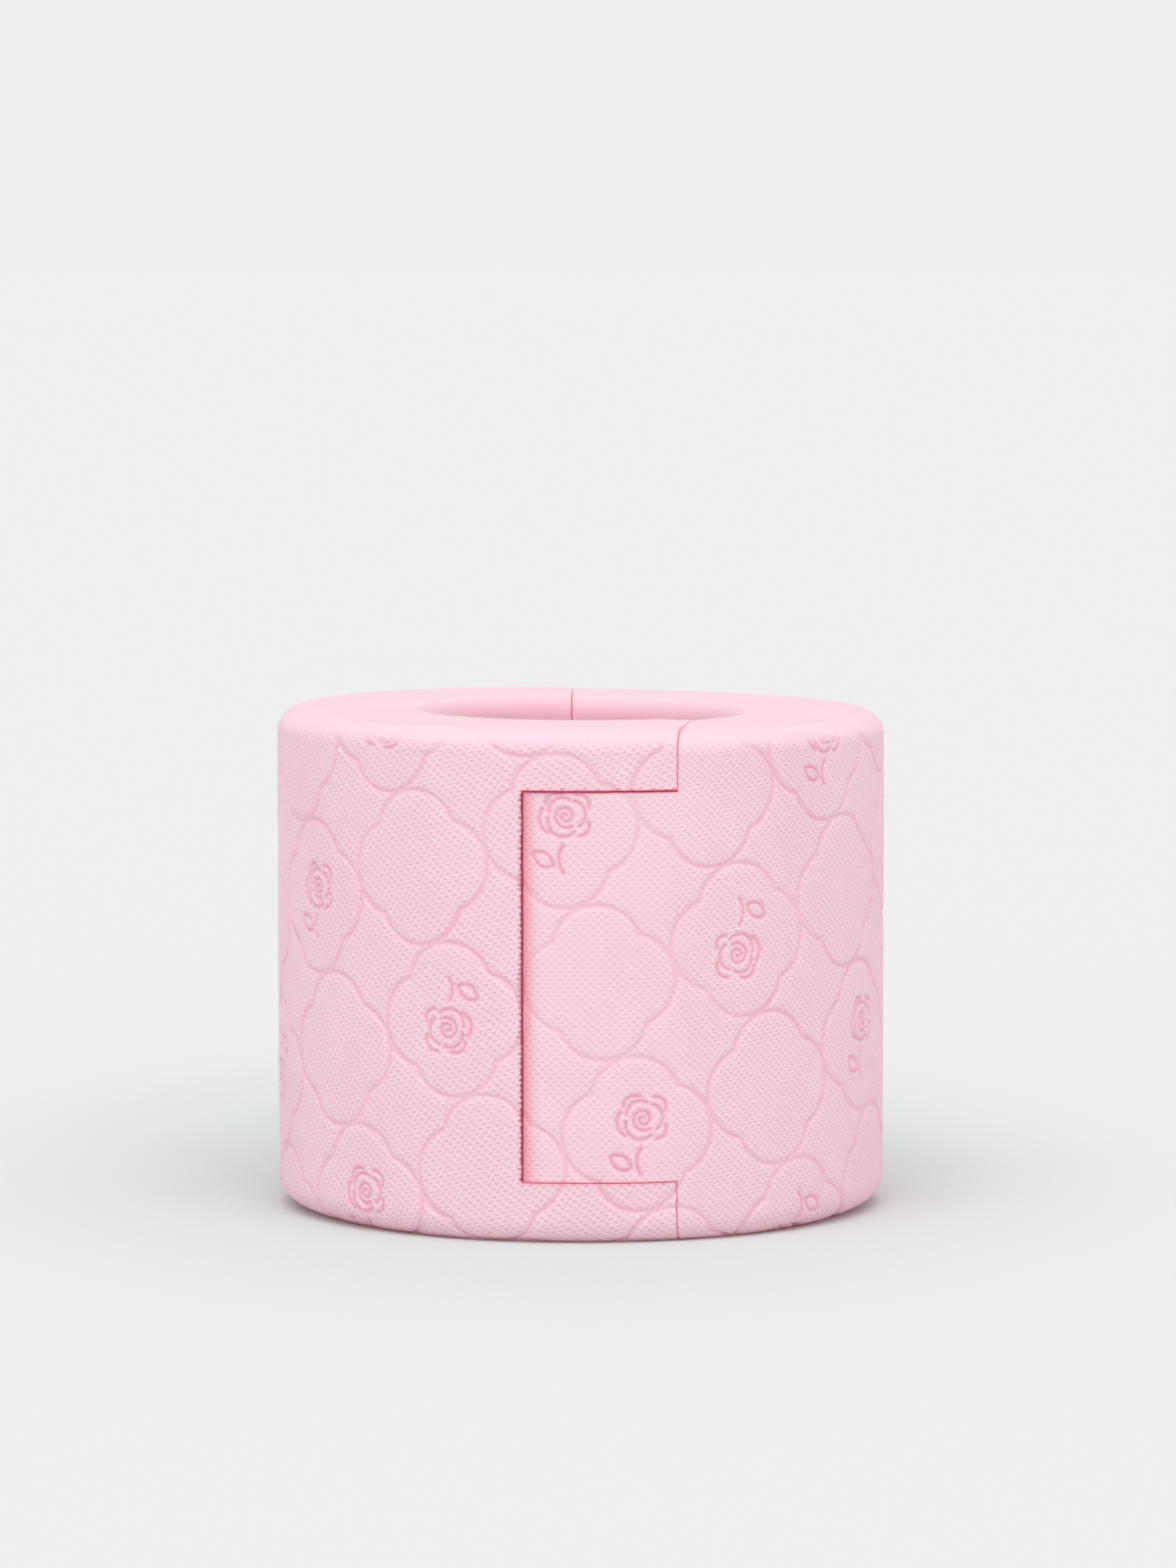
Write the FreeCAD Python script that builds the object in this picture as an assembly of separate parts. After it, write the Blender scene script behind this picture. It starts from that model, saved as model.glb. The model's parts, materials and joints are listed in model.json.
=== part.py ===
import FreeCAD, Part
import math
import os

# A foam pull buoy in the form of a thick ring that stands on its end.
# Two moulded foam halves meet in the parting plane x = 0. A web of the outer
# facing joins them at the back, at +Y, and they open about it like a book.
# At the front, at -Y, a tab on the right half lies in a notch between two
# arms of the left half. The axis of the ring is Z and the base is at z = 0.

# Ring
outer_radius = 85.0
bore_radius = 42.5
height = 139.0
top_rounding = 6.5
base_rounding = 6.3
bore_rounding = 5.8

# The long edges are rounded in a few flat steps each
outer_edge_steps = 4
bore_edge_steps = 3

# Embossed facing sheet, let into the outer wall between the rounded edges
facing_thickness = 2.0

# Closure at the front
arm_height = 16.4
arm_reach = 21.0
arm_end_slant_deg = 9.0
notch_depth = 21.0
notch_corner = 1.2
tab_recess = 1.0
tab_end_rounding = 1.8

# Living hinge at the back
web_width = 7.0

# Trellis of lines pressed into the facings, as it lies on the outer wall rolled
# out flat. Across runs round the wall from the front towards +X, and up runs up it.
# The lines outline four-lobed cells on a slanting lattice. The two sheets were cut
# apart, so each counts its cells from one of its own
cell_across = (40.8, 10.65)
cell_down = (10.6, -41.0)
cell_turn_deg = 5.0
lobe_offset = 8.5
lobe_radius = 12.5
lobe_chords = 3
left_first_cell = (-52.0, 101.0)
right_first_cell = (-0.1, 70.7)
line_width = 1.4
line_depth = 0.5

# Clearances
slit_gap = 0.8
arm_seam_gap = 0.4
tab_edge_gap = 0.5
tab_end_gap = 1.2
bond_gap = 0.1
web_relief = 0.3
web_joint_gap = 0.1

# Tools that cut the ring run past it by this much
overrun = 10.0

# Edges to be rounded are picked out within this distance
near = 0.01

tab_low = arm_height + tab_edge_gap
tab_high = height - arm_height - tab_edge_gap
tab_root_x = arm_reach + arm_seam_gap
tab_end_x = -(notch_depth - tab_end_gap)
facing_low = base_rounding
facing_high = height - top_rounding
facing_inner_radius = outer_radius - facing_thickness
reach = outer_radius + overrun

# A line's cutter starts below the line's floor, also at the far end of its cell
cell_span = lobe_offset + lobe_radius + line_width
cutter_foot = math.sqrt((outer_radius - line_depth) ** 2 - cell_span**2)
cutter_height = outer_radius + line_depth - cutter_foot


def vec(x, y, z=0.0):
    return FreeCAD.Vector(x, y, z)


def turned(outline):
    """Turn a closed outline in the XZ plane a full turn about the ring's axis."""
    wire = Part.Wire([curve.toShape() for curve in outline])
    return Part.Face(wire).revolve(vec(0, 0, 0), vec(0, 0, 1), 360)


def quarter(centre_r, centre_z, radius, start_deg):
    """A quarter round of the ring's section, anticlockwise in the XZ plane."""
    ends = [math.radians(start_deg + step) for step in (0, 45, 90)]
    at = [
        vec(centre_r + radius * math.cos(a), 0, centre_z + radius * math.sin(a))
        for a in ends
    ]
    return Part.Arc(*at)


def stepped(arc, steps):
    """Equal chords along an arc."""
    points = arc.toShape().discretize(steps + 1)
    return [Part.LineSegment(a, b) for a, b in zip(points, points[1:])]


def ring_section():
    """The foam's section: a tall wall with its four corners rounded."""
    base = quarter(outer_radius - base_rounding, base_rounding, base_rounding, -90)
    top = quarter(outer_radius - top_rounding, height - top_rounding, top_rounding, 0)
    rim = quarter(bore_radius + bore_rounding, height - bore_rounding, bore_rounding, 90)
    foot = quarter(bore_radius + bore_rounding, bore_rounding, bore_rounding, 180)
    outline = stepped(base, outer_edge_steps)
    outline += [Part.LineSegment(base.EndPoint, top.StartPoint)]
    outline += stepped(top, outer_edge_steps)
    outline += [Part.LineSegment(top.EndPoint, rim.StartPoint)]
    outline += stepped(rim, bore_edge_steps)
    outline += [Part.LineSegment(rim.EndPoint, foot.StartPoint)]
    outline += stepped(foot, bore_edge_steps)
    outline += [Part.LineSegment(foot.EndPoint, base.StartPoint)]
    return outline


def tube(inner, outer, low, high, centre=vec(0, 0)):
    """A plain tube about a vertical axis."""
    base = vec(centre.x, centre.y, low)
    return Part.makeCylinder(outer, high - low, base).cut(
        Part.makeCylinder(inner, high - low, base)
    )


def box(x, y, z):
    """A box from its low and high limits on each axis."""
    size = [high - low for low, high in (x, y, z)]
    return Part.makeBox(*size, vec(x[0], y[0], z[0]))


def front_slab(from_x, left_side, low, high):
    """The front of the ring on one side of the plane of the arms' ends. The plane
    leaves the outer wall at from_x and leans away from the tab as it goes in."""
    lean = math.tan(math.radians(arm_end_slant_deg))
    wall_y = -math.sqrt(outer_radius**2 - from_x**2)
    outer_x = from_x + lean * (-reach - wall_y)
    inner_x = from_x + lean * (0 - wall_y)
    far_x = -reach if left_side else reach
    corners = [(far_x, -reach), (outer_x, -reach), (inner_x, 0), (far_x, 0)]
    points = [vec(x, y, low) for x, y in corners]
    plan = Part.Face(Part.makePolygon(points + points[:1]))
    return plan.extrude(vec(0, 0, high - low))


def front_notch():
    """The space between the left half's arms, with small rounds in its corners."""
    space = box((-notch_depth, reach), (-reach, 0), (arm_height, height - arm_height))
    corners = [
        edge
        for edge in space.Edges
        if abs(edge.CenterOfMass.x + notch_depth) < near
        and abs(edge.tangentAt(edge.FirstParameter).y) > 0.5
    ]
    return space.makeFillet(notch_corner, corners)


def left_space():
    """Where the left half lies: behind the parting plane at the back, and out to
    the ends of its arms at the front."""
    back = box((-reach, -slit_gap / 2), (0, reach), (-overrun, height + overrun))
    front = front_slab(arm_reach, True, -overrun, height + overrun)
    return back.fuse(front.cut(front_notch()))


def right_space():
    """Where the right half lies, without its tab."""
    back = box((slit_gap / 2, reach), (0, reach), (-overrun, height + overrun))
    front = front_slab(tab_root_x, False, -overrun, height + overrun)
    return back.fuse(front)


def tab_arc():
    """Centre and radius of the tab's outer wall. It leaves the ring's wall in a
    tangent at the tab's root and lies tab_recess below it at the tab's end."""
    root_angle = math.asin(tab_root_x / outer_radius)
    end_angle = math.asin(-tab_end_x / outer_radius)
    shift = tab_recess / (1 - math.cos(root_angle + end_angle))
    centre = vec(shift * math.sin(root_angle), -shift * math.cos(root_angle))
    return centre, outer_radius - shift


def tab():
    """The right half's tab, the full wall thick, with its end edges rounded."""
    centre, radius = tab_arc()
    wall = tube(bore_radius, reach, tab_low, tab_high)
    wall = wall.common(Part.makeCylinder(radius, height, centre))
    whole = wall.common(front_slab(tab_root_x, True, tab_low, tab_high))
    whole = whole.common(box((tab_end_x, reach), (-reach, 0), (tab_low, tab_high)))
    end_edges = [
        edge
        for edge in whole.Edges
        if abs(edge.CenterOfMass.x - tab_end_x) < near
        and abs(edge.tangentAt(edge.FirstParameter).z) > 0.5
    ]
    return whole.makeFillet(tab_end_rounding, end_edges)


def cell_outline(radius):
    """Corners of a four-lobed cell about its centre, each lobe in a few chords that
    lie half inside and half outside its arc."""
    half_way = lobe_offset * math.sqrt(0.5)
    half_span = 135 - math.degrees(math.acos(half_way / radius))
    radius *= (1 + 1 / math.cos(math.radians(half_span / lobe_chords))) / 2
    corners = []
    for quarter_turn in (0, 90, 180, 270):
        facing = math.radians(quarter_turn + cell_turn_deg)
        for chord in range(lobe_chords):
            at = facing + math.radians(half_span * (2 * chord / lobe_chords - 1))
            across = lobe_offset * math.cos(facing) + radius * math.cos(at)
            up = lobe_offset * math.sin(facing) + radius * math.sin(at)
            corners.append((across, up))
    return corners


def cell_line(across, up):
    """A cutter for one cell's line. It stands square on the wall at the cell's
    centre, and its corners meet the wall where they lie when it is rolled out."""
    turn = math.radians(90) - across / outer_radius
    out = vec(math.cos(turn), -math.sin(turn))
    along = vec(math.sin(turn), math.cos(turn))
    foot = out * cutter_foot + vec(0, 0, up)
    plates = []
    for offset in (line_width / 2, -line_width / 2):
        corners = [
            foot + along * (outer_radius * math.sin(u / outer_radius)) + vec(0, 0, v)
            for u, v in cell_outline(lobe_radius + offset)
        ]
        plates.append(Part.Face(Part.makePolygon(corners + corners[:1])))
    return plates[0].cut(plates[1]).extrude(out * cutter_height)


def trellis(first_cell, low_across, high_across):
    """Cutters for the lines of every cell that meets this stretch of the wall."""
    cells = [
        [first_cell[axis] + i * cell_across[axis] + j * cell_down[axis] for axis in (0, 1)]
        for i in range(-9, 10)
        for j in range(-5, 6)
    ]
    return [
        cell_line(across, up)
        for across, up in cells
        if low_across - cell_span < across < high_across + cell_span
        and facing_low - cell_span < up < facing_high + cell_span
    ]


def pressed(wall, lines, radius, centre=vec(0, 0)):
    """The wall with the lines pressed line_depth deep below its own radius."""
    core = Part.makeCylinder(radius - line_depth, height, centre)
    return wall.cut([line.cut(core) for line in lines])


def web_space(width):
    """The strip at the back that the hinge web takes from the two facings."""
    return box((-width / 2, width / 2), (0, reach), (0, height))


def one_solid(shape):
    """The single solid that a cut or a fuse leaves, with split faces merged."""
    whole = shape.removeSplitter()
    assert len(whole.Solids) == 1, len(whole.Solids)
    return whole.Solids[0]


ring = turned(ring_section())
rebate = tube(facing_inner_radius - bond_gap, reach, facing_low, facing_high)
foam = ring.cut(rebate)
sheet = tube(facing_inner_radius, outer_radius, facing_low, facing_high)
sheet = sheet.cut(web_space(web_width))

tab_centre, tab_radius = tab_arc()
whole_tab = tab()
tab_foam_edge = Part.makeCylinder(
    tab_radius - facing_thickness - bond_gap, height, tab_centre
)
tab_sheet_edge = Part.makeCylinder(tab_radius - facing_thickness, height, tab_centre)

half_way_round = math.pi * outer_radius
left_lines = trellis(left_first_cell, -half_way_round, arm_reach)
right_lines = trellis(right_first_cell, tab_root_x, half_way_round)
tab_lines = trellis(right_first_cell, tab_end_x, tab_root_x)

left_foam_half = one_solid(foam.common(left_space()))
left_facing = one_solid(
    pressed(sheet.common(left_space()), left_lines, outer_radius)
)
right_foam_half = one_solid(
    foam.common(right_space()).fuse(whole_tab.common(tab_foam_edge))
)
right_facing = one_solid(
    pressed(sheet.common(right_space()), right_lines, outer_radius).fuse(
        pressed(whole_tab.cut(tab_sheet_edge), tab_lines, tab_radius, tab_centre)
    )
)
web = tube(
    facing_inner_radius + web_relief,
    outer_radius,
    facing_low + web_joint_gap,
    facing_high - web_joint_gap,
)
hinge_web = one_solid(web.common(web_space(web_width - 2 * web_joint_gap)))

sub_parts = {
    "left_foam_half": left_foam_half,
    "left_facing": left_facing,
    "right_foam_half": right_foam_half,
    "right_facing": right_facing,
    "hinge_web": hinge_web,
}

os.makedirs("parts", exist_ok=True)
for name, shape in sub_parts.items():
    assert shape.isValid(), name
    shape.exportStep("parts/" + name + ".step")
    print(name, "volume", round(shape.Volume / 1000, 1), "cm3")
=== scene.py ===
import json
import math

import bmesh
import bpy
import numpy as np
from bpy.props import FloatProperty, FloatVectorProperty, PointerProperty
from bpy.types import Operator, Panel, PropertyGroup
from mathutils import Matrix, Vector


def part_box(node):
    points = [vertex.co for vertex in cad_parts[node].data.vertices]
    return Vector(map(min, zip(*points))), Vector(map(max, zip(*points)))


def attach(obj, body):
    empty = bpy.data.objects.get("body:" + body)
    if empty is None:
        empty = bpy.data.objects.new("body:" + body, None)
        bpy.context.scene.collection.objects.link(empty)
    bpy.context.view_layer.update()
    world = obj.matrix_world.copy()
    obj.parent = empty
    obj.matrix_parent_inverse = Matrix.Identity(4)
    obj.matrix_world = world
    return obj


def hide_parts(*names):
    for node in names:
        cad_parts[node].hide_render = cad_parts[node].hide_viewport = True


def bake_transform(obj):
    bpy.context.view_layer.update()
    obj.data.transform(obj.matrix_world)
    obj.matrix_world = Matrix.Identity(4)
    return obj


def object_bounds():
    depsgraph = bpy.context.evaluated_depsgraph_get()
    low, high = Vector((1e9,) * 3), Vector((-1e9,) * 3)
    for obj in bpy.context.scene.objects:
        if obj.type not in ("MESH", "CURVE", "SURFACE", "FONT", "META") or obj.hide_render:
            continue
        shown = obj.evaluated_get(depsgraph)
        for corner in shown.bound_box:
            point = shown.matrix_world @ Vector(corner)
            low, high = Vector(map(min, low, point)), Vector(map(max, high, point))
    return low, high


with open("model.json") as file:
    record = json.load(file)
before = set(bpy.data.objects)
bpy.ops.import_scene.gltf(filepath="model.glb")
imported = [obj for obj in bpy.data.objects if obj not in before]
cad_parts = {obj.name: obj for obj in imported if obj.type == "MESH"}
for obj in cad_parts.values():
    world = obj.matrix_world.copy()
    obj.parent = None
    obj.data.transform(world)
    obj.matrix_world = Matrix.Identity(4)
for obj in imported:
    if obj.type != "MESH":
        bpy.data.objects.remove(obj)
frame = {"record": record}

bl_info = {
    "name": "Foam Pull Buoy",
    "version": (1, 0, 0),
    "blender": (4, 5, 0),
    "location": "View3D > Sidebar > Pull Buoy",
    "description": "Dresses the two halves of a ring-shaped foam pull buoy",
    "category": "Object",
}

MM = 0.001

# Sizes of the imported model. The ring's axis is Z, its closure faces -Y
CAD_BOX = [list(corner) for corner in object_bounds()]
FACING_LOW, FACING_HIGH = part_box("left_facing")
MOUNTS = {mount["name"]: mount for mount in frame["record"]["mounts"]}

RADIUS = CAD_BOX[1][0]
BORE = MOUNTS["leg_bore"]["dims"]["r_mm"] * MM
HEIGHT = CAD_BOX[1][2]
WALL_LOW = FACING_LOW.z
WALL_HIGH = FACING_HIGH.z
BASE_ROUNDING = WALL_LOW
TOP_ROUNDING = HEIGHT - WALL_HIGH
BORE_ROUNDING = (HEIGHT - MOUNTS["leg_bore"]["dims"]["length_mm"] * MM) / 2
FACING_DEPTH = 2.0 * MM

# Closure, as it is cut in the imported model
ARM_HEIGHT = 16.4 * MM
ARM_REACH = 21.0 * MM
ARM_SLANT = math.radians(9.0)
NOTCH_X = -21.0 * MM
WEB_END_X = 3.5 * MM
TAB_RECESS = 1.0 * MM

# The foam is squeezed together where the halves meet, so the gaps that show are
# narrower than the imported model's clearances
TAB_TOP_GAP = 0.55 * MM
TAB_BASE_GAP = 0.12 * MM
TAB_END_GAP = 0.12 * MM
SEAM_GAP = 0.1 * MM
SLIT_GAP = 0.16 * MM

# The slit at the back runs out from the bore at this angle to the parting plane
SLIT_LEAN = math.radians(4.0)

# How far each cut edge is eased into the foam
SLIT_EASE = 0.3 * MM
SEAM_EASE = 0.4 * MM
NOTCH_EASE = 0.15 * MM
TAB_ROW_EASE = 0.5 * MM
TAB_END_EASE = 0.45 * MM

# Painted shade at the cut edges, in the slit and where the halves meet: how strongly the foam's
# colour deepens there, and how far on it does
SLIT_SHADE, SLIT_SHADE_REACH = 0.4, 0.7 * MM
SEAM_SHADE, SEAM_SHADE_REACH = 0.6, 0.8 * MM
TAB_END_SHADE, TAB_END_SHADE_REACH = 1.5, 5.0 * MM

# Hinge web
WEB_DEPTH = 1.7 * MM
CREASE_DEPTH = 0.35 * MM
CREASE_WIDTH = 0.7 * MM

# The notch and the tab as rows of the wall
NOTCH_ROWS = (ARM_HEIGHT, HEIGHT - ARM_HEIGHT)
TAB_ROWS = (ARM_HEIGHT + TAB_BASE_GAP, HEIGHT - ARM_HEIGHT - TAB_TOP_GAP)
TAB_END_X = NOTCH_X + TAB_END_GAP


class PullBuoyShape(PropertyGroup):
    mesh_step: FloatProperty(
        name="Mesh step", description="Spacing of the embossed wall's mesh",
        default=0.4 * MM, min=0.3 * MM, unit="LENGTH", precision=5,
    )
    foam_step: FloatProperty(
        name="Foam step", description="Spacing of the smooth foam's mesh",
        default=0.56 * MM, min=0.3 * MM, unit="LENGTH", precision=5,
    )
    line_depth: FloatProperty(
        name="Line depth", description="Depth of the pressed lines",
        default=0.8 * MM, unit="LENGTH", precision=5,
    )
    line_width: FloatProperty(
        name="Line width", description="Half width of a pressed line",
        default=0.66 * MM, unit="LENGTH", precision=5,
    )
    # The line and rose tints are partly denser pressed foam and partly painted shade in the
    # grooves
    line_tint: FloatProperty(
        name="Line tint", description="How much deeper in colour the pressed lines are",
        default=0.5, min=0, max=1,
    )
    rose_width: FloatProperty(
        name="Rose line width", description="Half width of a rose's pressed strokes",
        default=0.5 * MM, unit="LENGTH", precision=5,
    )
    rose_tint: FloatProperty(
        name="Rose tint", description="How much deeper in colour the roses' strokes are",
        default=0.8, min=0, max=1,
    )
    grain_depth: FloatProperty(
        name="Grain depth", description="Depth of the fine dimples",
        default=0.15 * MM, unit="LENGTH", precision=5,
    )
    right_top_drop: FloatProperty(
        name="Right top drop", description="How much lower the right half's top lies",
        default=0.9 * MM, unit="LENGTH", precision=5,
    )
    back_top_rise: FloatProperty(
        name="Back top rise", description="How much the top swells at the back left",
        default=1.2 * MM, unit="LENGTH", precision=5,
    )
    base_softness: FloatProperty(
        name="Base softness", description="How far the base's edge gives way at the sides",
        default=3.4 * MM, unit="LENGTH", precision=5,
    )


class PullBuoyColours(PropertyGroup):
    foam: FloatVectorProperty(
        name="Foam", description="Colour of the smooth foam",
        subtype="COLOR", size=3, default=(0.86, 0.683, 0.755), min=0, max=1,
    )
    # The deeper pink that random clouds of tone and pressed lines mix towards, and also the
    # painted shade in the grooves, the dimples, the gaps at the cut edges and the bore
    pressed: FloatVectorProperty(
        name="Pressed foam", description="Colour of foam where it is pressed denser",
        subtype="COLOR", size=3, default=(0.80, 0.37, 0.47), min=0, max=1,
    )
    # Painted glow: a faint red emission of the foam's own, the same under any lamp, that stands
    # for light scattered through the foam
    painted_glow: FloatVectorProperty(
        name="Inner glow", description="Light that comes through the foam from around",
        subtype="COLOR", size=3, default=(0.07, 0.003, 0.009), min=0, max=1,
    )
    floor: FloatVectorProperty(
        name="Floor", description="Colour of the floor",
        subtype="COLOR", size=3, default=(0.812, 0.812, 0.812), min=0, max=1,
    )
    # Painted shadow on the floor round the buoy, tinted a little cyan against the pink light the
    # buoy throws back
    floor_painted_shadow: FloatVectorProperty(
        name="Floor middle", description="Colour of the floor round the buoy",
        subtype="COLOR", size=3, default=(0.692, 0.738, 0.728), min=0, max=1,
    )


# Pattern of the embossed wall, in the wall rolled out flat: u runs to the right
# round the wall from the front, v runs up it. Each half's sheet was cut by itself,
# so each has a plain cell of its own to count from and a grain of its own
CELL_ACROSS = np.array((40.8, 10.65)) * MM
CELL_DOWN = np.array((10.6, -41.0)) * MM
CELL_TURN = math.radians(5.0)
LOBE_RADIUS = 12.5 * MM
LOBE_OFFSET = 8.5 * MM
CELL_FIRST = {"left": np.array((-52.0, 101.0)) * MM, "right": np.array((-0.1, 70.7)) * MM}

# The grain's waves per metre along and across its rows, and how steeply the rows
# climb with u. On the tab the foam is drawn out, and the rows lie almost level
GRAIN_WAVES = {
    "left": ((438.0, 450.0), (0.0, 830.0)),
    "right": ((477.0, 450.0), (0.0, 940.0)),
}
GRAIN_CLIMB = {"left": 0.241, "right": 0.128}
TAB_GRAIN_CLIMB = 0.01
TAB_GRAIN_STRETCH = 0.86

# Rose sprig of every other cell: how far across and up from the cell's middle each
# half has its bloom
BLOOM_PLACE = {"left": (1.3 * MM, 2.6 * MM), "right": (1.3 * MM, 4.0 * MM)}
STROKE_STEP = 0.25 * MM

# Its petals: where each starts and ends round the heart in degrees, how far out
# its ends lie and how far it bulges beyond them
PETALS = (
    (-35, 62, 4.7 * MM, 0.8 * MM),
    (78, 168, 4.6 * MM, 0.7 * MM),
    (186, 300, 4.8 * MM, 0.9 * MM),
    (18, 66, 6.6 * MM, 1.0 * MM),
    (100, 150, 6.3 * MM, 0.9 * MM),
    (162, 226, 6.5 * MM, 0.8 * MM),
    (304, 346, 6.5 * MM, 0.9 * MM),
)

# How much of the pressed colour each thing adds to the foam's: random clouds of tone; the pressed
# attribute, partly denser pressed lines and partly painted shade in the grooves and at the cut
# edges; painted shade in the dimples' hollows; and painted shade in the bore
CLOUD_TONE = 0.1
PRESS_AND_SHADE_TONE = 0.75
GRAIN_SHADE_TONE = 0.36
BORE_SHADE_TONE = 0.22

# Distances from a cut edge at which the mesh gets extra lines
EDGE_LINES = np.array((0.08, 0.2, 0.36, 0.56, 0.8, 1.1)) * MM


def smooth(low, high, value):
    """0 below low, 1 above high, and an easy curve between them."""
    t = np.clip((value - low) / (high - low), 0, 1)
    return t * t * (3 - 2 * t)


def plane_at(x, behind=False):
    """The angle from the front at which a circle of radius r meets the plane x."""
    if behind:
        return lambda r: math.copysign(math.pi, x) - np.arcsin(x / r)
    return lambda r: np.arcsin(x / r)


def slanted_plane(x):
    """The same for the plane of the arms' ends, which leans outwards as it goes in."""
    wall_y = -math.sqrt(RADIUS**2 - x**2)
    offset = (x - math.tan(ARM_SLANT) * wall_y) * math.cos(ARM_SLANT)
    return lambda r: np.arcsin(offset / r) - ARM_SLANT


def slit_plane(x):
    """The same for a face of the slit, which leaves the bore at x and leans right."""
    offset = x * math.cos(SLIT_LEAN) - BORE * math.sin(SLIT_LEAN)
    return lambda r: math.copysign(math.pi, x) - np.arcsin(offset / r) - SLIT_LEAN


def arc(centre_r, centre_z, radius, start_deg, end_deg, step):
    """Points of a round of the section, as (r, z)."""
    count = max(3, round(radius * math.radians(abs(end_deg - start_deg)) / step))
    turn = np.radians(np.linspace(start_deg, end_deg, count + 1))
    return np.column_stack((centre_r + radius * np.cos(turn), centre_z + radius * np.sin(turn)))


def run(start, end, step, fine_start=False, fine_end=False):
    """Places from start to end, closer together at the ends that are asked for."""
    span = abs(end - start)
    lines = EDGE_LINES[EDGE_LINES < span / 3]
    head = np.concatenate(((0,), lines)) if fine_start else np.zeros(1)
    tail = np.concatenate(((0,), lines)) if fine_end else np.zeros(1)
    count = max(1, round((span - head[-1] - tail[-1]) / step))
    middle = np.linspace(head[-1], span - tail[-1], count + 1)
    places = np.concatenate((head[:-1], middle, span - tail[:-1][::-1]))
    return start + math.copysign(1, end - start) * places


def upright(radius, heights):
    """Points of the section straight up or down at one radius."""
    return np.column_stack((np.full(len(heights), radius), heights))


def level(radii, height):
    """Points of the section straight in or out at one height."""
    return np.column_stack((radii, np.full(len(radii), height)))


def joined(*stretches):
    """One line of points from several, each starting where the last one ended."""
    return np.concatenate([stretch[:-1] for stretch in stretches] + [stretches[-1][-1:]])


def foam_sections(rows, step, split):
    """The foam's closed section for the main sweep, and the sub-sections that go
    on past it: the two arms above and below the rows, or the tab between them."""
    inner = RADIUS - FACING_DEPTH
    low, high = rows
    base = arc(RADIUS - BASE_ROUNDING, BASE_ROUNDING, BASE_ROUNDING, -90, 0, step)
    top = arc(RADIUS - TOP_ROUNDING, WALL_HIGH, TOP_ROUNDING, 0, 90, step)
    rim = arc(BORE + BORE_ROUNDING, HEIGHT - BORE_ROUNDING, BORE_ROUNDING, 90, 180, 1 * MM)
    foot = arc(BORE + BORE_ROUNDING, BORE_ROUNDING, BORE_ROUNDING, 180, 270, 1 * MM)
    lid = level(run(RADIUS - TOP_ROUNDING, BORE + BORE_ROUNDING, 2.5 * MM), HEIGHT)
    sole = level(run(BORE + BORE_ROUNDING, RADIUS - BASE_ROUNDING, 2.5 * MM), 0)
    ledge_low = level(np.array((RADIUS, inner)), WALL_LOW)
    ledge_high = level(np.array((inner, RADIUS)), WALL_HIGH)
    seat_low = upright(inner, run(WALL_LOW, low, 5 * MM))
    seat_mid = upright(inner, run(low, high, 6 * MM))
    seat_high = upright(inner, run(high, WALL_HIGH, 5 * MM))
    wall_high = upright(BORE, run(HEIGHT - BORE_ROUNDING, high, 2.5 * MM, False, True))
    wall_mid = upright(BORE, run(high, low, 3 * MM, True, True))
    wall_low = upright(BORE, run(low, BORE_ROUNDING, 2.5 * MM, True, False))
    cross_high = level(run(BORE, inner, 5 * MM), high)
    cross_low = level(run(inner, BORE, 5 * MM), low)
    main = joined(
        base, ledge_low, seat_low, seat_mid, seat_high, ledge_high,
        top, lid, rim, wall_high, wall_mid, wall_low, foot, sole,
    )
    if split == "arms":
        upper = joined(seat_high, ledge_high, top, lid, rim, wall_high, cross_high)
        lower = joined(base, ledge_low, seat_low, cross_low, wall_low, foot, sole)
        return main, [upper, lower]
    return main, [joined(seat_mid, cross_high[::-1], wall_mid, cross_low[::-1])]


def facing_sections(rows, step, split):
    """The same for the facing sheet, which is fine outside and coarse inside."""
    inner = RADIUS - FACING_DEPTH
    low, high = rows
    wall_low = upright(RADIUS, run(WALL_LOW, low, step, False, True))
    wall_mid = upright(RADIUS, run(low, high, step, True, True))
    wall_high = upright(RADIUS, run(high, WALL_HIGH, step, True, False))
    back_high = upright(inner, np.array((WALL_HIGH, high)))
    back_mid = upright(inner, np.array((high, low)))
    back_low = upright(inner, np.array((low, WALL_LOW)))
    edge_high = level(np.array((RADIUS, inner)), WALL_HIGH)
    edge_low = level(np.array((inner, RADIUS)), WALL_LOW)
    cut_high = level(np.array((inner, RADIUS)), high)
    cut_low = level(np.array((RADIUS, inner)), low)
    main = joined(
        wall_low, wall_mid, wall_high, edge_high, back_high, back_mid, back_low, edge_low
    )
    if split == "arms":
        upper = joined(wall_high, edge_high, back_high, cut_high)
        lower = joined(wall_low, cut_low, back_low, edge_low)
        return main, [upper, lower]
    return main, [joined(wall_mid, cut_high[::-1], back_mid, cut_low[::-1])]


def sweep(bm, section, start_plane, end_plane, step, fine_start, fine_end):
    """Adds a grid of the section's points turned about the axis between two planes.
    The section is closed, so the grid's first and last rows lie on each other."""
    start, end = start_plane(RADIUS), end_plane(RADIUS)
    span = abs(end - start) * RADIUS
    places = run(0, span, step, fine_start, fine_end) / span
    part = bmesh.new()
    bmesh.ops.create_grid(
        part, x_segments=len(section) - 1, y_segments=len(places) - 1, size=1
    )
    mesh = bpy.data.meshes.new("sweep")
    part.to_mesh(mesh)
    part.free()
    flat = vertex_array(mesh)
    row = np.rint((flat[:, 0] + 1) / 2 * (len(section) - 1)).astype(int)
    column = np.rint((flat[:, 1] + 1) / 2 * (len(places) - 1)).astype(int)
    r, z = section[row, 0], section[row, 1]
    turn = start_plane(r) + (end_plane(r) - start_plane(r)) * places[column]
    put_vertices(mesh, np.column_stack((r * np.sin(turn), -r * np.cos(turn), z)))
    bm.from_mesh(mesh)
    bpy.data.meshes.remove(mesh)


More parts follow.
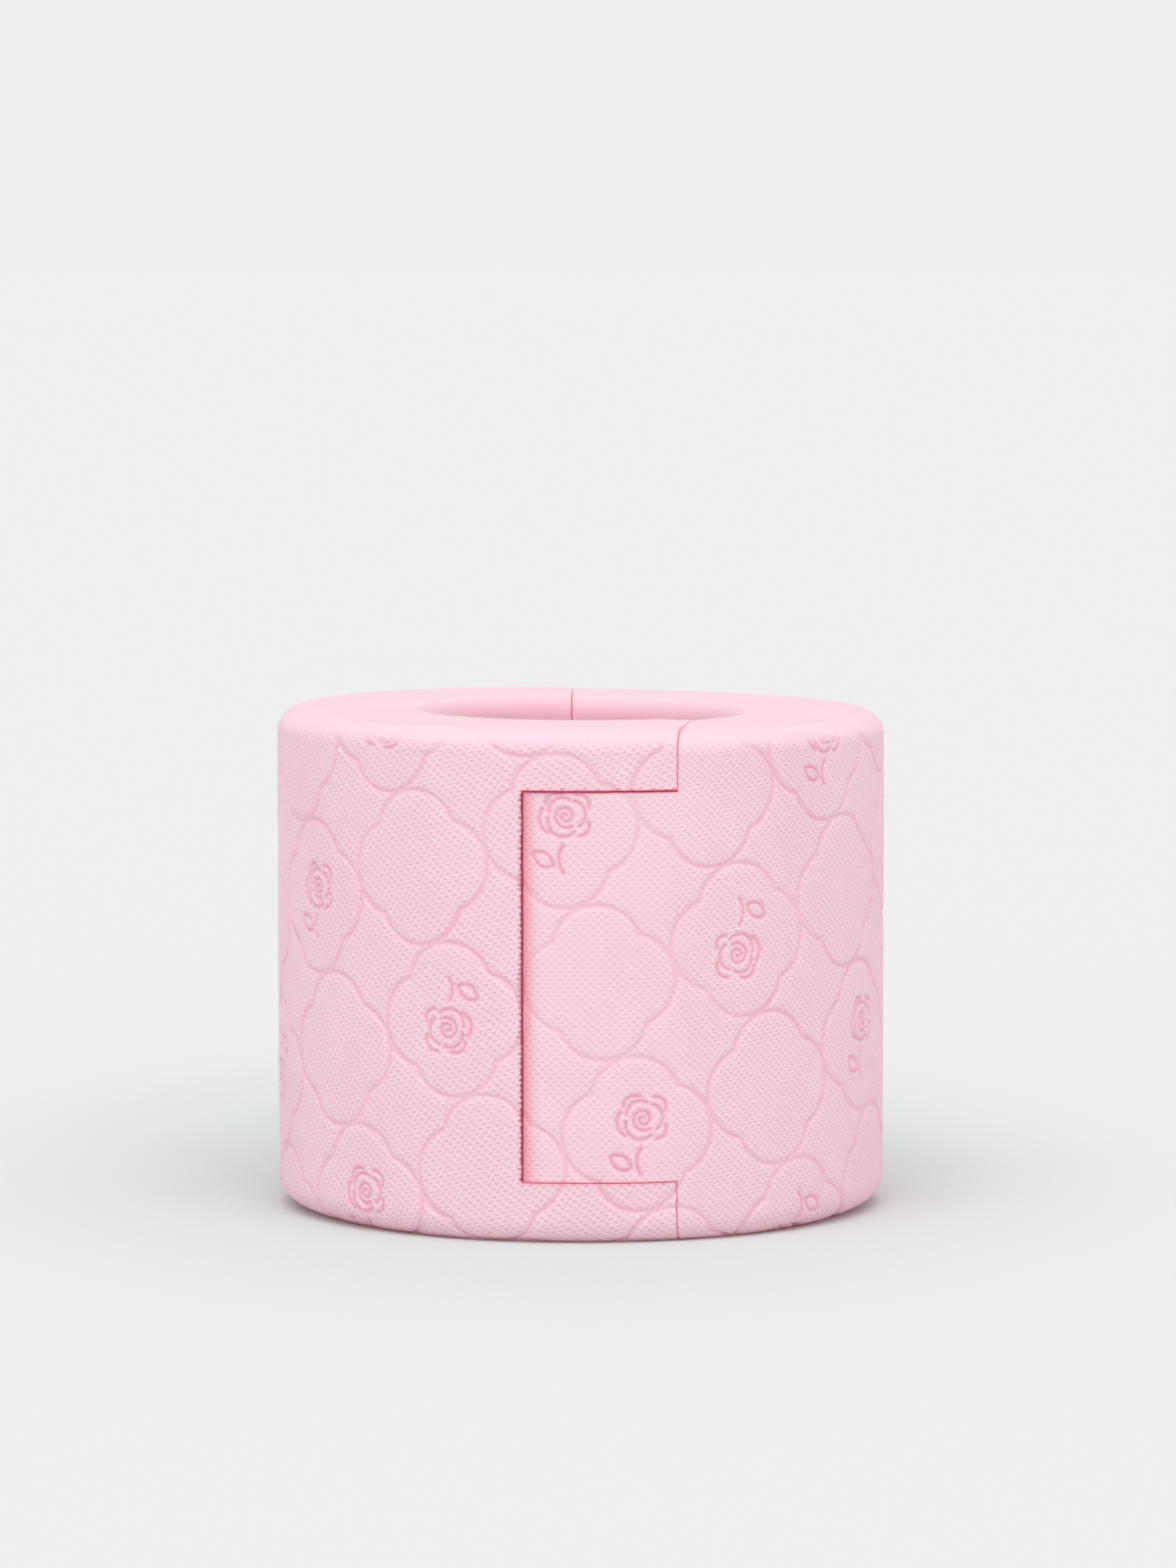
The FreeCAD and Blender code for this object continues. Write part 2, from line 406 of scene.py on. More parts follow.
def vertex_array(mesh):
    co = np.empty(len(mesh.vertices) * 3, np.float32)
    mesh.vertices.foreach_get("co", co)
    return co.reshape(-1, 3).astype(float)


def put_vertices(mesh, co):
    mesh.vertices.foreach_set("co", np.ascontiguousarray(co, np.float32).ravel())
    mesh.update()


def keep_values(mesh, name, values):
    """Keeps a number, or a pair of them, for each point of the mesh."""
    kind, field = ("FLOAT2", "vector") if values.ndim == 2 else ("FLOAT", "value")
    attribute = mesh.attributes.new(name, kind, "POINT")
    attribute.data.foreach_set(field, values.astype(np.float32).ravel())


def closed_mesh(bm, name):
    """Welds the sweeps, closes what is open with flat faces and makes the mesh."""
    bmesh.ops.remove_doubles(bm, verts=bm.verts, dist=0.004 * MM)
    bmesh.ops.holes_fill(bm, edges=[edge for edge in bm.edges if edge.is_boundary])
    bmesh.ops.recalc_face_normals(bm, faces=bm.faces)
    mesh = bpy.data.meshes.new(name)
    bm.to_mesh(mesh)
    bm.free()
    return mesh


def lobed_outline(u, v, side):
    """Distance from the outline of the nearest four-lobed cell."""
    first = CELL_FIRST[side]
    basis = np.linalg.inv(np.column_stack((CELL_ACROSS, CELL_DOWN)))
    place = basis @ np.vstack((u - first[0], v - first[1]))
    home = np.rint(place)
    nearest = np.full(len(u), np.inf)
    for across in (-1, 0, 1):
        for down in (-1, 0, 1):
            cell = home + np.array(((across,), (down,)))
            centre_u = first[0] + cell[0] * CELL_ACROSS[0] + cell[1] * CELL_DOWN[0]
            centre_v = first[1] + cell[0] * CELL_ACROSS[1] + cell[1] * CELL_DOWN[1]
            inside = np.full(len(u), np.inf)
            for quarter in range(4):
                turn = CELL_TURN + quarter * math.pi / 2
                lobe_u = centre_u + LOBE_OFFSET * math.cos(turn)
                lobe_v = centre_v + LOBE_OFFSET * math.sin(turn)
                inside = np.minimum(inside, np.hypot(u - lobe_u, v - lobe_v) - LOBE_RADIUS)
            nearest = np.minimum(nearest, np.abs(inside))
    return nearest


def stroke(points):
    """Evenly spaced points along a line given by a few."""
    points = np.array(points)
    lengths = np.hypot(*np.diff(points, axis=0).T)
    along = np.concatenate(((0,), np.cumsum(lengths)))
    at = np.arange(0, along[-1], STROKE_STEP)
    return np.column_stack([np.interp(at, along, points[:, axis]) for axis in (0, 1)])


def bowed(start, end, bow):
    """An arc between two points that bows to the left of the way by a share."""
    start, end = np.array(start), np.array(end)
    way = end - start
    side = np.array((-way[1], way[0]))
    t = np.linspace(0, 1, 24)[:, None]
    return start + way * t + side * bow * 4 * t * (1 - t)


def rose_sprig(side):
    """The strokes of a rose on its stem, about the middle of its cell. A spiral heart
    lies in a ring of petals, each a round line that stops short of the next."""
    turn = np.linspace(0.9, 3.7 * math.pi, 90)
    heart = np.column_stack((np.cos(turn), np.sin(turn))) * (0.2 + 0.262 * turn)[:, None]
    strokes = [stroke(heart * MM)]
    for start, end, radius, bulge in PETALS:
        turn = np.radians(np.linspace(start, end, 30))
        swell = np.sin(np.linspace(0, math.pi, 30))
        out = (radius + bulge * swell)[:, None]
        strokes.append(stroke(out * np.column_stack((np.cos(turn), np.sin(turn)))))
    across, up = BLOOM_PLACE[side]
    bloom = np.concatenate(strokes) + (across, up)
    stem = bowed((across - 0.6 * MM, up - 7.8 * MM), (0.8 * MM, -11.4 * MM), -0.16)
    leaf_base, leaf_tip = (-1.9 * MM, -9.4 * MM), (-7.6 * MM, -5.9 * MM)
    leaf = [bowed(leaf_base, leaf_tip, bow) for bow in (0.3, -0.26)]
    return np.concatenate([bloom, stroke(stem)] + [stroke(line) for line in leaf])


def rose_distance(u, v, side):
    """Distance from the nearest stroke of a rose, or far away where none is near."""
    first = CELL_FIRST[side]
    sprig = rose_sprig(side)
    far = 2 * MM
    nearest = np.full(len(u), far)
    for across in range(-9, 10):
        for down in range(-5, 6):
            if (across + down) % 2 == 0:
                continue
            centre = first + across * CELL_ACROSS + down * CELL_DOWN
            local_u, local_v = u - centre[0], v - centre[1]
            if (down % 2 == 0) == (side == "right"):
                local_u, local_v = -local_u, -local_v
            near = np.flatnonzero((np.abs(local_u) < 11 * MM) & (np.abs(local_v) < 15 * MM))
            for chunk in np.array_split(near, max(1, len(near) // 4000)):
                if not len(chunk):
                    continue
                to_stroke = np.hypot(
                    local_u[chunk, None] - sprig[None, :, 0],
                    local_v[chunk, None] - sprig[None, :, 1],
                ).min(axis=1)
                nearest[chunk] = np.minimum(nearest[chunk], to_stroke)
    return nearest


def grain_place(u, v, side):
    """Place along and across the grain's rows."""
    climb = GRAIN_CLIMB[side]
    if side == "left":
        return u, v - climb * u
    past = np.minimum(u - ARM_REACH, 0)
    along = u - past * (1 - TAB_GRAIN_STRETCH)
    return along, v - climb * (u - past) - TAB_GRAIN_CLIMB * past


def grain(u, v, side):
    """How far the fine dimples go in, from 0 to 1."""
    u, v = grain_place(u, v, side)
    (a_u, a_v), (b_u, b_v) = GRAIN_WAVES[side]
    a = 2 * math.pi * (a_u * u + a_v * v)
    b = 2 * math.pi * (b_u * u + b_v * v)
    return smooth(0.1, 2.2, np.cos(a) + np.cos(b) + np.cos(b - a))


def rolled_out(co):
    """Where each point lies on the wall rolled out flat, and its depth below it.
    Over the rounded edges v goes on along the round."""
    x, y, z = co.T
    r = np.hypot(x, y)
    turn = np.arctan2(x, -y)
    v, depth = z.copy(), RADIUS - r
    for above, edge, radius in ((True, WALL_HIGH, TOP_ROUNDING), (False, WALL_LOW, BASE_ROUNDING)):
        over = (z > edge if above else z < edge) & (r > RADIUS - radius)
        rise = np.abs(z[over] - edge)
        reach = r[over] - (RADIUS - radius)
        along = np.arctan2(rise, reach) * radius
        v[over] = edge + along if above else edge - along
        depth[over] = radius - np.hypot(rise, reach)
    return turn, RADIUS * turn, v, depth


def rounded_in(distance, radius):
    """How far a surface drops towards an edge that is rounded by this radius."""
    near = np.clip(radius - distance, 0, radius)
    return radius - np.sqrt(radius**2 - near**2)


def edge_distances(co, side, slit_shows):
    """Distance in the surface from each kind of cut edge: the slit at the back, the
    seam at the arms' ends, and the notch's or the tab's own edges."""
    x, y, z = co.T
    far = np.full(len(x), 1.0)
    slit_x = math.tan(SLIT_LEAN) * (y - BORE)
    slit = np.where((y > 0) & slit_shows, np.abs(x - slit_x) - SLIT_GAP / 2, far)
    wall_y = -math.sqrt(RADIUS**2 - ARM_REACH**2)
    seam_x = ARM_REACH + math.tan(ARM_SLANT) * (y - wall_y)
    in_front = y < 0
    if side == "left":
        past_end = np.maximum(NOTCH_X - x, 0)
        past_rows = np.maximum(np.maximum(z - NOTCH_ROWS[1], NOTCH_ROWS[0] - z), 0)
        cut = np.where(in_front, np.hypot(past_end, past_rows), far)
        seam = np.where(in_front & (past_rows > 0), seam_x - x, far)
        return slit, np.abs(seam), cut
    inside_rows = np.minimum(z - TAB_ROWS[0], TAB_ROWS[1] - z)
    on_tab = in_front & (x < seam_x + SEAM_GAP) & (inside_rows > -MM)
    cut_rows = np.where(on_tab, np.abs(inside_rows), far)
    tab_end = np.where(on_tab, np.abs(x - TAB_END_X), far)
    seam = np.where(in_front & (inside_rows <= 0), x - seam_x - SEAM_GAP, far)
    return slit, np.abs(seam), (cut_rows, tab_end)


def shape_half(mesh, side, shape, slit_shows):
    """Presses the pattern into the outer wall, softens the cut edges and sets the
    tab in, and keeps on the mesh the rolled-out place, the press of the lines with painted
    shade in them, and the painted shade at the cut edges and in the bore."""
    co = vertex_array(mesh)
    turn, u, v, depth = rolled_out(co)
    x, y, z = co.T
    r = np.hypot(x, y)
    outer = depth < 0.01 * MM
    fade = smooth(WALL_HIGH + 4.2 * MM, WALL_HIGH + 1.2 * MM, v) * smooth(-3.2 * MM, -1.4 * MM, v)
    fade = np.where(outer, fade, 0)

    on_tab = smooth(ARM_REACH + 14 * MM, ARM_REACH - 6 * MM, u) * (side == "right")
    lines = np.zeros(len(co))
    lobed = lobed_outline(u[outer], v[outer], side)
    roses = rose_distance(u[outer], v[outer], side)
    trough = np.exp(-(lobed / shape.line_width) ** 2)
    stitched = np.exp(-(roses / shape.rose_width) ** 2)
    uneven = 0.82 + 0.18 * np.sin(97 * u[outer] + 2) * np.sin(83 * v[outer] + 61 * u[outer])
    trough *= uneven * (1 - 0.25 * on_tab[outer])
    lines[outer] = np.maximum(trough, stitched)
    # Tint of the grooves: partly denser pressed foam, partly painted shade in them
    groove_tone_and_shade = np.zeros(len(co))
    groove_tone_and_shade[outer] = np.maximum(shape.line_tint * trough, shape.rose_tint * stitched)
    shoulder = np.zeros(len(co))
    shoulder[outer] = np.exp(-(lobed / (1.9 * MM)) ** 2) + 0.7 * np.exp(-(roses / (1.3 * MM)) ** 2)
    sink = fade * (shape.line_depth * lines + 0.12 * MM * shoulder)

    slit, seam, cut = edge_distances(co, side, slit_shows)
    at_surface = surface_mask(r, z)
    behind_sheet = (np.abs(r - (RADIUS - FACING_DEPTH)) < 0.05 * MM) & (z > WALL_LOW - MM)
    soft = at_surface & ~behind_sheet
    near_wall = smooth(RADIUS - 22 * MM, RADIUS - 10 * MM, r)
    drop = rounded_in(np.where(soft, slit, 1.0), SLIT_EASE)
    seam_drop = rounded_in(np.where(soft, seam, 1.0), SEAM_EASE)
    drop = np.maximum(drop, seam_drop * (0.2 + 0.8 * near_wall))
    dimples = grain(u, v, side)
    if side == "left":
        drop = np.maximum(drop, rounded_in(np.where(soft, cut, 1.0), NOTCH_EASE))
    else:
        rows, end = cut
        drop = np.maximum(drop, rounded_in(np.where(soft, rows, 1.0), TAB_ROW_EASE))
        drop = np.maximum(drop, rounded_in(np.where(soft, end, 1.0), TAB_END_EASE))
    into_foam = inward(r, z, turn)
    co = co + into_foam * (drop + sink)[:, None]
    give = np.clip(1 - z / (9 * MM), 0, 1) ** 2 * smooth(30 * MM, 78 * MM, np.abs(x))
    give *= shape.base_softness * smooth(RADIUS - 22 * MM, RADIUS - 4 * MM, r)
    co[:, :2] *= (1 - give / r)[:, None]
    co[:, 2] += top_swell(x, y, z, shape)

    if side == "left":
        co += notch_nicks(co, outer & (y < 0), cut, dimples, lines)
        near_end = smooth(9 * MM, 0, np.abs(seam)) * smooth(RADIUS, BORE, r)
        co[:, 2] -= 0.7 * MM * near_end * smooth(WALL_HIGH, HEIGHT, z) * (y < 0)
    else:
        co = set_tab_in(co)
        co[:, 2] -= top_drop(y, z, shape)
    put_vertices(mesh, co)

    # Painted shade where the halves meet: the colour deepens at the slit, the seam, the notch's
    # edges and the tab's rows and end, where the gaps fall into shade
    gap_shade = np.maximum(
        SLIT_SHADE * smooth(SLIT_SHADE_REACH, 0, slit),
        SEAM_SHADE * near_wall * smooth(SEAM_SHADE_REACH, 0, seam),
    )
    if side == "right":
        from_end = np.clip(1 - cut[1] / TAB_END_SHADE_REACH, 0, 1)
        gap_shade = np.maximum(gap_shade, TAB_END_SHADE * from_end**1.6)
        gap_shade = np.maximum(gap_shade, smooth(0.8 * MM, 0, cut[0]))
    else:
        gap_shade = np.maximum(gap_shade, smooth(0.7 * MM, 0, cut))
    keep_values(mesh, "rolled_out", np.column_stack(grain_place(u, v, side)))
    # The pressed attribute: denser pressed lines, painted shade in the grooves, and painted shade
    # at the cut edges where the halves meet
    keep_values(mesh, "pressed", np.maximum(groove_tone_and_shade * fade, gap_shade))
    # Painted shade in the bore: a mask that deepens the colour of its wall
    keep_values(mesh, "bore_shade", smooth(BORE + 4.5 * MM, BORE + 0.5 * MM, r))
    keep_values(mesh, "embossed", fade * (1 - 0.3 * on_tab) * (1 - 0.85 * lines))


def notch_nicks(co, on_front, cut, dimples, lines):
    """Small nicks in the notch's edges, where its cut runs through the dimples."""
    x, y, z = co.T
    near = np.where(on_front, smooth(3 * MM, 0, cut), 0)
    into_rows = np.minimum(z - NOTCH_ROWS[0], NOTCH_ROWS[1] - z)
    teeth = 0.5 + 0.5 * np.sin(z / (0.24 * MM) + 1.5 * np.sin(z / (4 * MM)))
    nick = near * (0.3 * MM * dimples + 0.5 * MM * lines + 0.7 * MM * teeth**2)
    back = nick / RADIUS * smooth(0, 1 * MM, into_rows)
    shallow = near * 0.4 * MM * np.maximum(dimples, lines) * smooth(NOTCH_X, NOTCH_X + MM, x)
    away = np.where(into_rows <= 0, np.sign(z - HEIGHT / 2) * shallow, 0)
    return np.column_stack((y * back, -x * back, away))


def top_swell(x, y, z, shape):
    """How much the top rises towards the back left."""
    across = smooth(-60 * MM, 80 * MM, y) * smooth(60 * MM, -80 * MM, x)
    return shape.back_top_rise * smooth(WALL_HIGH - 20 * MM, HEIGHT, z) * across


def top_drop(y, z, shape):
    """How much lower the right half's top lies, most of all at the front."""
    lowered = smooth(NOTCH_ROWS[1] + 0.8 * MM, WALL_HIGH, z) * shape.right_top_drop
    return lowered * (0.3 + 0.7 * smooth(50 * MM, -70 * MM, y))


def surface_mask(r, z):
    """Points on the section's outline, and not on a face cut through the wall."""
    tiny = 0.02 * MM
    on_wall = r > RADIUS - tiny
    on_bore = r < BORE + tiny
    on_top = z > HEIGHT - tiny
    on_base = z < tiny
    on_round = np.zeros(len(r), bool)
    for centre_r, centre_z, radius in (
        (RADIUS - TOP_ROUNDING, WALL_HIGH, TOP_ROUNDING),
        (RADIUS - BASE_ROUNDING, BASE_ROUNDING, BASE_ROUNDING),
        (BORE + BORE_ROUNDING, HEIGHT - BORE_ROUNDING, BORE_ROUNDING),
        (BORE + BORE_ROUNDING, BORE_ROUNDING, BORE_ROUNDING),
    ):
        on_round |= np.abs(np.hypot(r - centre_r, z - centre_z) - radius) < tiny
    return on_wall | on_bore | on_top | on_base | on_round


def inward(r, z, turn):
    """The direction straight into the foam from each point of its surface."""
    centre_r = np.clip(r, BORE + BORE_ROUNDING, RADIUS - TOP_ROUNDING)
    centre_z = np.clip(z, BORE_ROUNDING, WALL_HIGH)
    step_r, step_z = centre_r - r, centre_z - z
    length = np.maximum(np.hypot(step_r, step_z), 1e-9)
    step_r, step_z = step_r / length, step_z / length
    return np.column_stack((step_r * np.sin(turn), -step_r * np.cos(turn), step_z))


def set_tab_in(co):
    """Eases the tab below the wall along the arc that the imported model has."""
    x, y, z = co.T
    turn = np.arctan2(x, -y)
    root_turn = math.asin((ARM_REACH + SEAM_GAP) / RADIUS)
    end_turn = math.asin(-TAB_END_X / RADIUS)
    shift = TAB_RECESS / (1 - math.cos(root_turn + end_turn))
    past = np.where(y < 0, np.clip(root_turn - turn, 0, None), 0)
    past = np.where(past < 1, past, 0)
    lowered = shift * (1 - np.cos(past))
    r = np.hypot(x, y)
    share = np.clip((r - BORE) / (RADIUS - BORE), 0, 1)
    inset = (r - lowered * share) / r
    return np.column_stack((x * inset, y * inset, z))


def half_mesh(name, side, shape, sections, step, slit_shows):
    """One half's foam or facing: the main sweep round from the back, and what goes
    on past it at the front, welded into one closed mesh."""
    rows = NOTCH_ROWS if side == "left" else TAB_ROWS
    split = "arms" if side == "left" else "tab"
    main, beyond = sections(rows, step, split)
    bm = bmesh.new()
    way = -1 if side == "left" else 1
    if slit_shows:
        back = slit_plane(way * SLIT_GAP / 2)
    else:
        back = plane_at(way * WEB_END_X, behind=True)
    if side == "left":
        front, end = plane_at(NOTCH_X), slanted_plane(ARM_REACH)
    else:
        front, end = slanted_plane(ARM_REACH + SEAM_GAP), plane_at(TAB_END_X)
    sweep(bm, main, back, front, step, True, True)
    for section in beyond:
        sweep(bm, section, front, end, step, side == "right", True)
    mesh = closed_mesh(bm, name)
    shape_half(mesh, side, shape, slit_shows)
    return mesh


def inside_foam(r, z):
    """Places well below the section's outline, as on a face cut through the foam."""
    skin = 1.6 * MM
    under_top, over_base = HEIGHT - z, z
    past_bore, under_wall = r - BORE, RADIUS - r
    inside = (past_bore > skin) & (under_wall > FACING_DEPTH + 0.1 * MM)
    inside &= (under_top > skin + MM) & (over_base > skin)
    for across, along, rounding in (
        (past_bore, under_top, BORE_ROUNDING), (past_bore, over_base, BORE_ROUNDING),
        (under_wall, under_top, TOP_ROUNDING), (under_wall, over_base, BASE_ROUNDING),
    ):
        inside &= across + along > 0.59 * rounding + 1.5 * skin
    return inside


def finish_piece(mesh, embossed, plain, cut):
    """Makes the object, with smooth shading broken at the cut edges, the embossed
    material on the outer wall, the cut one inside and the plain one on the rest."""
    piece = bpy.data.objects.new(mesh.name, mesh)
    bpy.context.scene.collection.objects.link(piece)
    mesh.materials.append(embossed)
    mesh.materials.append(plain)
    mesh.materials.append(cut)
    count = len(mesh.polygons)
    normals = np.empty(count * 3, np.float32)
    centres = np.empty(count * 3, np.float32)
    mesh.polygons.foreach_get("normal", normals)
    mesh.polygons.foreach_get("center", centres)
    normals, centres = normals.reshape(-1, 3), centres.reshape(-1, 3)
    r = np.hypot(centres[:, 0], centres[:, 1])
    facing_out = (normals[:, 0] * centres[:, 0] + normals[:, 1] * centres[:, 1]) / r
    on_wall = (facing_out > 0.15) & (r > RADIUS - TOP_ROUNDING)
    slots = np.where(on_wall, 0, np.where(inside_foam(r, centres[:, 2]), 2, 1))
    mesh.polygons.foreach_set("material_index", slots.astype(np.int32))
    mesh.polygons.foreach_set("use_smooth", np.ones(count, bool))
    mesh.set_sharp_from_angle(angle=math.radians(52))
    return piece


def group_socket(group, name, kind, out=False, default=None):
    socket = group.interface.new_socket(
        name=name, in_out="OUTPUT" if out else "INPUT", socket_type="NodeSocket" + kind
    )
    if default is not None:
        socket.default_value = default
    return socket


def node(tree, kind, settings=(), **inputs):
    """Adds a node, sets its properties and sets or links its inputs."""
    made = tree.nodes.new(kind)
    for key, value in dict(settings).items():
        setattr(made, key, value)
    for key, value in inputs.items():
        socket = made.inputs[int(key[1:]) if key[1:].isdigit() else key.replace("_", " ")]
        if isinstance(value, bpy.types.NodeSocket):
            tree.links.new(value, socket)
        else:
            socket.default_value = value
    return made


def math_node(tree, operation, *values):
    inputs = {"i%d" % index: value for index, value in enumerate(values)}
    return node(tree, "ShaderNodeMath", {"operation": operation}, **inputs).outputs[0]


def grain_group():
    """Fine dimples in slanting rows: the sum of three waves across the wall rolled
    out flat, cut off so that only the hollows show."""
    group = bpy.data.node_groups.new("Dimpled grain", "ShaderNodeTree")
    group_socket(group, "Rolled out", "Vector")
    group_socket(group, "Wave A", "Vector")
    group_socket(group, "Wave B", "Vector")
    group_socket(group, "Hollow", "Float", out=True)
    entry = group.nodes.new("NodeGroupInput")
    wander = node(
        group, "ShaderNodeTexNoise", {"noise_dimensions": "3D"},
        Vector=entry.outputs["Rolled out"], Scale=160.0, Detail=2.0,
    )
    centred = node(
        group, "ShaderNodeVectorMath", {"operation": "SUBTRACT"},
        i0=wander.outputs["Color"], i1=(0.5, 0.5, 0.5),
    )
    shifted = node(
        group, "ShaderNodeVectorMath", {"operation": "MULTIPLY_ADD"},
        i0=centred.outputs[0], i1=(0.9 * MM, 0.6 * MM, 0), i2=entry.outputs["Rolled out"],
    )
    phases = []
    for wave in ("Wave A", "Wave B"):
        phase = node(
            group, "ShaderNodeVectorMath", {"operation": "DOT_PRODUCT"},
            i0=shifted.outputs[0], i1=entry.outputs[wave],
        )
        phases.append(math_node(group, "MULTIPLY", phase.outputs["Value"], 2 * math.pi))
    third = math_node(group, "SUBTRACT", phases[1], phases[0])
    waves = [math_node(group, "COSINE", phase) for phase in phases + [third]]
    total = math_node(group, "ADD", math_node(group, "ADD", waves[0], waves[1]), waves[2])
    hollow = node(
        group, "ShaderNodeMapRange", {"interpolation_type": "SMOOTHSTEP"},
        Value=total, From_Min=-0.1, From_Max=2.3,
    )
    leave = group.nodes.new("NodeGroupOutput")
    group.links.new(hollow.outputs["Result"], leave.inputs["Hollow"])
    return group


def skin_group():
    """The foam's own skin: a very fine pebble and soft clouds of tone."""
    group = bpy.data.node_groups.new("Foam skin", "ShaderNodeTree")
    group_socket(group, "Place", "Vector")
    group_socket(group, "Pebble", "Float", out=True)
    group_socket(group, "Cloud", "Float", out=True)
    entry = group.nodes.new("NodeGroupInput")
    pebble = node(
        group, "ShaderNodeTexVoronoi", {"feature": "SMOOTH_F1"},
        Vector=entry.outputs["Place"], Scale=2600.0, Smoothness=0.6,
    )
    cloud = node(
        group, "ShaderNodeTexNoise", {},
        Vector=entry.outputs["Place"], Scale=38.0, Detail=3.0, Roughness=0.5,
    )
    leave = group.nodes.new("NodeGroupOutput")
    group.links.new(pebble.outputs["Distance"], leave.inputs["Pebble"])
    group.links.new(cloud.outputs["Fac"], leave.inputs["Cloud"])
    return group


def foam_material(
    name, colours, skin, grain_nodes=None, waves=None, grain_depth=0.0, cut=False
):
    """Matte closed-cell foam with a painted glow, tinted by the pressed attribute, which is
    partly denser pressed lines and partly painted shade in the grooves and at the cut edges.
    With waves it has the dimpled grain, with painted shade in its hollows; without them it has
    painted shade in the bore; and where it is cut it has neither the tint nor the painted shade."""
    material = bpy.data.materials.new(name)
    material.use_nodes = True
    tree = material.node_tree
    shader = tree.nodes["Principled BSDF"]
    shader.inputs["Roughness"].default_value = 0.62
    shader.inputs["Specular IOR Level"].default_value = 0.28
    shader.inputs["Subsurface Weight"].default_value = 0.35
    shader.inputs["Subsurface Radius"].default_value = (1.0, 0.6, 0.65)
    shader.inputs["Subsurface Scale"].default_value = 0.5 * MM
    # Painted glow: the foam gives off a faint red light of its own, standing in for light
    # scattered through it
    shader.inputs["Emission Color"].default_value = (*colours.painted_glow, 1)
    shader.inputs["Emission Strength"].default_value = 1.0
    material.cycles.emission_sampling = "NONE"
    shader.inputs["Sheen Weight"].default_value = 0.25
    shader.inputs["Sheen Tint"].default_value = (1.0, 0.62, 0.72, 1)
    shader.inputs["Sheen Roughness"].default_value = 0.5
    place = tree.nodes.new("ShaderNodeTexCoord").outputs["Object"]
    skin_node = node(tree, "ShaderNodeGroup", {"node_tree": skin}, Place=place)
    tone = node(
        tree, "ShaderNodeMapRange", {}, Value=skin_node.outputs["Cloud"],
        From_Min=0.3, From_Max=0.7, To_Min=0.0, To_Max=CLOUD_TONE,
    ).outputs["Result"]
    fine = node(
        tree, "ShaderNodeBump", {}, Strength=0.25, Distance=0.08 * MM,
        Height=skin_node.outputs["Pebble"],
    )
    normal = fine.outputs["Normal"]
    if not cut:
        # Tint from the pressed attribute: partly denser pressed foam, partly painted shade in the
        # grooves and at the cut edges
        pressed = node(tree, "ShaderNodeAttribute", {"attribute_name": "pressed"})
        pressed_and_shade = math_node(tree, "MULTIPLY", pressed.outputs["Fac"], PRESS_AND_SHADE_TONE)
        tone = math_node(tree, "ADD", tone, pressed_and_shade)
    if waves:
        rolled = node(tree, "ShaderNodeAttribute", {"attribute_name": "rolled_out"})
        embossed = node(tree, "ShaderNodeAttribute", {"attribute_name": "embossed"})
        dimples = node(
            tree, "ShaderNodeGroup", {"node_tree": grain_nodes},
            Rolled_out=rolled.outputs["Vector"],
            Wave_A=(*waves[0], 0), Wave_B=(*waves[1], 0),
        )
        hollow = math_node(
            tree, "MULTIPLY", dimples.outputs["Hollow"], embossed.outputs["Fac"]
        )
        height = math_node(tree, "SUBTRACT", 1.0, hollow)
        bump = node(
            tree, "ShaderNodeBump", {}, Strength=1.0, Distance=grain_depth,
            Height=height, Normal=normal,
        )
        normal = bump.outputs["Normal"]
        # Painted shade in the dimples' hollows: they are tinted towards the deeper pink
        tone = math_node(tree, "ADD", tone, math_node(tree, "MULTIPLY", hollow, GRAIN_SHADE_TONE))
    elif not cut:
        # Painted shade in the bore, deepening the colour of its wall
        bore_shade = node(tree, "ShaderNodeAttribute", {"attribute_name": "bore_shade"})
        tone = math_node(
            tree, "ADD", tone, math_node(tree, "MULTIPLY", bore_shade.outputs["Fac"], BORE_SHADE_TONE)
        )
    colour = node(
        tree, "ShaderNodeMix", {"data_type": "RGBA"}, i0=tone,
        i6=(*colours.foam, 1), i7=(*colours.pressed, 1),
    )
    tree.links.new(colour.outputs[2], shader.inputs["Base Color"])
    tree.links.new(normal, shader.inputs["Normal"])
    return material


def foam_materials():
    """The plain foam, the cut foam and each side's embossed foam, made once."""
    names = ("Smooth foam", "Embossed foam left", "Embossed foam right", "Cut foam")
    found = [bpy.data.materials.get(name) for name in names]
    if all(found):
        return dict(zip(("plain", "left", "right", "cut"), found))
    colours = bpy.context.scene.pull_buoy_colours
    shape = bpy.context.scene.pull_buoy_shape
    skin, grain_nodes = skin_group(), grain_group()
    made = {"plain": foam_material(names[0], colours, skin)}
    made["cut"] = foam_material(names[3], colours, skin, cut=True)
    for side, name in zip(("left", "right"), names[1:3]):
        made[side] = foam_material(
            name, colours, skin, grain_nodes, GRAIN_WAVES[side], shape.grain_depth
        )
    return made


class PULLBUOY_OT_foam_halves(Operator):
    """Make the two moulded foam halves, with the arms and the tab"""

    bl_idname = "pull_buoy.foam_halves"
    bl_label = "Foam halves"

    def execute(self, context):
        shape = context.scene.pull_buoy_shape
        materials = foam_materials()
        for side in ("left", "right"):
            name = side + "_foam"
            mesh = half_mesh(
                name, side, shape, foam_sections, shape.foam_step, slit_shows=True
            )
            piece = finish_piece(mesh, materials[side], materials["plain"], materials["cut"])
            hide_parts(side + "_foam_half")
            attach(piece, side + "_half")
        return {"FINISHED"}


class PULLBUOY_OT_facings(Operator):
    """Make the embossed facing sheets round the outside of the halves"""

    bl_idname = "pull_buoy.facings"
    bl_label = "Embossed facings"

    def execute(self, context):
        shape = context.scene.pull_buoy_shape
        materials = foam_materials()
        for side in ("left", "right"):
            name = side + "_embossed_sheet"
            mesh = half_mesh(
                name, side, shape, facing_sections, shape.mesh_step, slit_shows=False
            )
            piece = finish_piece(mesh, materials[side], materials["plain"], materials["cut"])
            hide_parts(side + "_facing")
            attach(piece, side + "_half")
        return {"FINISHED"}


